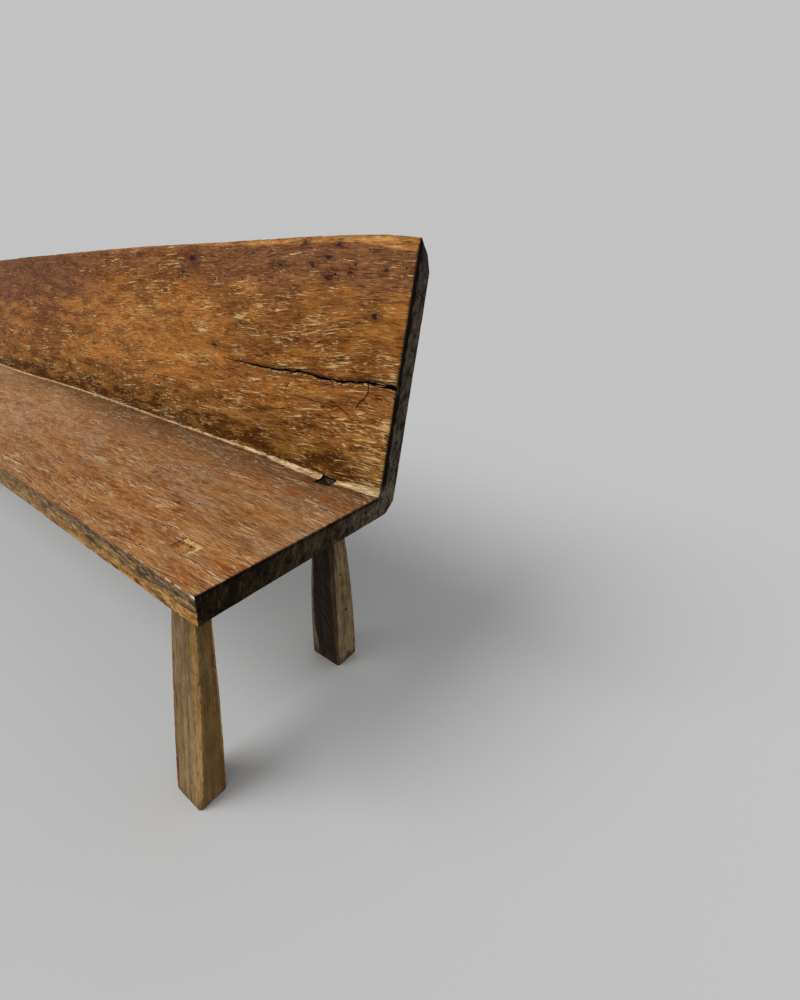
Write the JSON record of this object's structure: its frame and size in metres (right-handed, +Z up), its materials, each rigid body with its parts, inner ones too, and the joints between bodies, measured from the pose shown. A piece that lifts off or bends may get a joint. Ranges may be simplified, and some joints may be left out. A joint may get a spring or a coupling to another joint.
{
  "type": "monks bench",
  "caption": "Long rustic bench, its seat and raked back hewn from one trunk in an L, on square splayed legs with wedged through tenons.",
  "frame": {"origin": "on the floor, under the middle of the bench's bounding box", "axes": "+X to the sitter's left-hand end (the right end seen from the front), +Y to the back, +Z up"},
  "size_m": [2.1, 0.5077, 0.8301],
  "materials": {
    "trunk_wood": "hand-hewn, worn and waxed, dark at the sawn ends",
    "leg_wood": "hand-hewn, dry and dusty",
    "wedge_wood": "bare end grain",
    "grey_wedge_wood": "weathered end grain"
  },
  "bodies": {
    "root": {"hewn_seat_and_back": "trunk_wood", "front_right_leg": "leg_wood", "front_left_leg": "leg_wood", "back_right_leg": "leg_wood", "back_left_leg": "leg_wood", "front_right_long_wedge": "wedge_wood", "front_right_side_wedge": "wedge_wood", "front_left_long_wedge": "wedge_wood", "front_left_side_wedge": "wedge_wood", "back_right_corner_wedge": "grey_wedge_wood", "back_left_corner_wedge": "grey_wedge_wood"}
  },
  "joints": []
}
